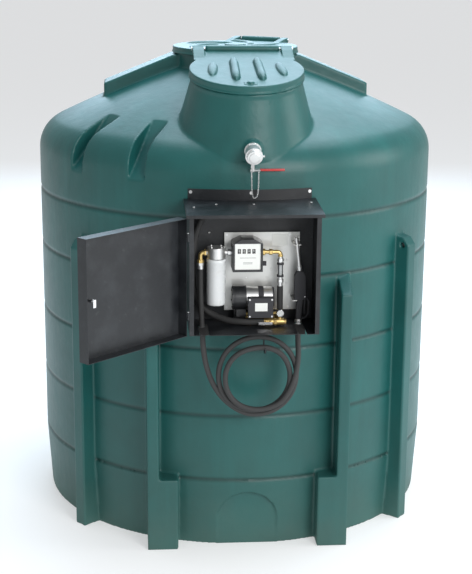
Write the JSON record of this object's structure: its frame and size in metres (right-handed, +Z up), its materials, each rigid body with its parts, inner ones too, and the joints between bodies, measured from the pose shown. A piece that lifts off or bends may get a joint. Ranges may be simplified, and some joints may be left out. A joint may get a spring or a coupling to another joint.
{
  "type": "diesel dispensing tank",
  "caption": "Round bunded plastic fuel tank with hinged lids and an open wall cabinet holding a pump, meter, filter, nozzle and coiled delivery hose.",
  "frame": {"origin": "tank axis at floor level", "axes": "+Z up, -Y the cabinet side, +X to the right seen from the front"},
  "size_m": [2.2, 2.9364, 2.5739],
  "materials": {
    "tank_green": "satin",
    "tank_inner": "matte",
    "black_powder": "satin",
    "galvanised": "satin",
    "zinc": "satin",
    "chrome": "gloss",
    "brass": "satin",
    "cast_aluminium": "satin",
    "cast_black": "satin",
    "black_plastic": "matte",
    "hose_rubber": "matte",
    "filter_white": "gloss",
    "face_white": "satin",
    "clear_glass": "gloss"
  },
  "bodies": {
    "tank": {"blank_plates": "face_white", "brass_elbows": "brass", "bund_shell": "tank_green", "cabinet_body": "black_powder", "cabinet_roof": "black_powder", "cap_chain": "zinc", "equipment_plate": "galvanised", "fill_fittings": "zinc", "fill_pipe": "zinc", "fill_valve_body": "zinc", "filter_cartridge": "filter_white", "filter_head": "cast_aluminium", "fixings": "zinc", "gaskets": "hose_rubber", "glasses": "clear_glass", "hinge_pins": "zinc", "hose_coil": "hose_rubber", "hose_lead_in": "hose_rubber", "hose_lead_out": "hose_rubber", "hose_tails": "zinc", "inner_manway_cap": "tank_inner", "inner_tank": "tank_inner", "meter_body": "cast_black", "meter_face": "face_white", "motor_body": "cast_aluminium", "motor_trim": "black_plastic", "nozzle_body": "black_plastic", "nozzle_holder": "galvanised", "nozzle_spout": "cast_aluminium", "plate_spacers": "zinc", "port_plate": "tank_inner", "pressure_gauge": "black_plastic", "pump_body": "cast_black", "pump_cover": "cast_black", "pump_pipes": "brass", "riser_hose": "hose_rubber", "sight_glass_frame": "black_plastic", "suction_hose": "hose_rubber", "suction_line": "hose_rubber", "suction_valve_body": "brass", "terminal_box": "black_plastic", "terminal_cover": "black_plastic", "zinc_unions": "zinc"},
    "door": {"door": "black_powder", "door_lock": "chrome"},
    "lock_cam": {"lock_cam": "chrome"},
    "front_lid": {"front_lid": "tank_green"},
    "centre_lid": {"centre_lid": "tank_green"},
    "fill_lever": {"fill_valve_lever": "zinc"},
    "fill_cap": {"fill_cap": "cast_aluminium"},
    "wheel_ones": {"meter_wheel_ones": "face_white"},
    "wheel_tens": {"meter_wheel_tens": "face_white"},
    "wheel_hundreds": {"meter_wheel_hundreds": "face_white"},
    "wheel_thousands": {"meter_wheel_thousands": "face_white"},
    "reset_knob": {"meter_reset_knob": "black_plastic"},
    "pump_rotor": {"pump_rotor": "zinc"},
    "pump_switch": {"pump_switch": "black_plastic"},
    "suction_lever": {"suction_valve_lever": "chrome"},
    "gauge_needle": {"gauge_needle": "black_plastic"},
    "nozzle_trigger": {"nozzle_trigger": "black_plastic"}
  },
  "joints": [
    {"name": "door_hinge", "type": "hinge", "parent": "tank", "child": "door", "pos_m": [-0.324, -1.4, 1.5415], "axis": [0, 0, -1], "range_deg": [-137, 43]},
    {"name": "lock_cam_turn", "type": "hinge", "parent": "door", "child": "lock_cam", "pos_m": [-0.7672, -1.81329, 1.5415], "axis": [-0.682, 0.7314, 0], "range_deg": [0, 90]},
    {"name": "front_lid_hinge", "type": "hinge", "parent": "tank", "child": "front_lid", "pos_m": [0, -0.4902, 2.55498], "axis": [-1, 0, 0], "range_deg": [0, 95]},
    {"name": "centre_lid_hinge", "type": "hinge", "parent": "tank", "child": "centre_lid", "pos_m": [0.17652, 0.33199, 2.539], "axis": [-0.8829, 0.4695, 0], "range_deg": [0, 95]},
    {"name": "fill_lever_turn", "type": "hinge", "parent": "tank", "child": "fill_lever", "pos_m": [0.008, -1.1406, 2.10318], "axis": [0, 0.2079, -0.9781], "range_deg": [0, 90]},
    {"name": "fill_cap_turn", "type": "hinge", "parent": "tank", "child": "fill_cap", "pos_m": [0.008, -1.212, 2.088], "axis": [0, -0.9781, -0.2079], "range_deg": [0, 360]},
    {"name": "wheel_ones_turn", "type": "hinge", "parent": "tank", "child": "wheel_ones", "pos_m": [0.008, -1.204, 1.629], "axis": [1, 0, 0], "continuous": true},
    {"name": "wheel_tens_turn", "type": "hinge", "parent": "tank", "child": "wheel_tens", "pos_m": [-0.016, -1.204, 1.629], "axis": [1, 0, 0], "continuous": true},
    {"name": "wheel_hundreds_turn", "type": "hinge", "parent": "tank", "child": "wheel_hundreds", "pos_m": [-0.04, -1.204, 1.629], "axis": [1, 0, 0], "continuous": true},
    {"name": "wheel_thousands_turn", "type": "hinge", "parent": "tank", "child": "wheel_thousands", "pos_m": [-0.064, -1.204, 1.629], "axis": [1, 0, 0], "continuous": true},
    {"name": "reset_knob_turn", "type": "hinge", "parent": "tank", "child": "reset_knob", "pos_m": [0.054, -1.2, 1.562], "axis": [1, 0, 0], "continuous": true},
    {"name": "pump_rotor_turn", "type": "hinge", "parent": "tank", "child": "pump_rotor", "pos_m": [-0.056, -1.18, 1.385], "axis": [1, 0, 0], "continuous": true},
    {"name": "pump_switch_rock", "type": "hinge", "parent": "tank", "child": "pump_switch", "pos_m": [-0.022, -1.2495, 1.364], "axis": [0, 1, 0], "range_deg": [0, 12]},
    {"name": "suction_lever_turn", "type": "hinge", "parent": "tank", "child": "suction_lever", "pos_m": [0.09, -1.245, 1.274], "axis": [0, 1, 0], "range_deg": [0, 90]},
    {"name": "gauge_needle_turn", "type": "hinge", "parent": "tank", "child": "gauge_needle", "pos_m": [0.14, -1.258, 1.32], "axis": [0, 1, 0], "range_deg": [0, 270], "stiffness_Nm_per_rad": 0.0005},
    {"name": "nozzle_trigger_squeeze", "type": "hinge", "parent": "tank", "child": "nozzle_trigger", "pos_m": [0.266, -1.2, 1.392], "axis": [0, 1, 0], "range_deg": [0, 6], "stiffness_Nm_per_rad": 0.6}
  ],
  "couplings": [
    {"joint": "wheel_tens_turn", "follows": "wheel_ones_turn", "ratio": 0.1},
    {"joint": "wheel_hundreds_turn", "follows": "wheel_ones_turn", "ratio": 0.01},
    {"joint": "wheel_thousands_turn", "follows": "wheel_ones_turn", "ratio": 0.001}
  ]
}
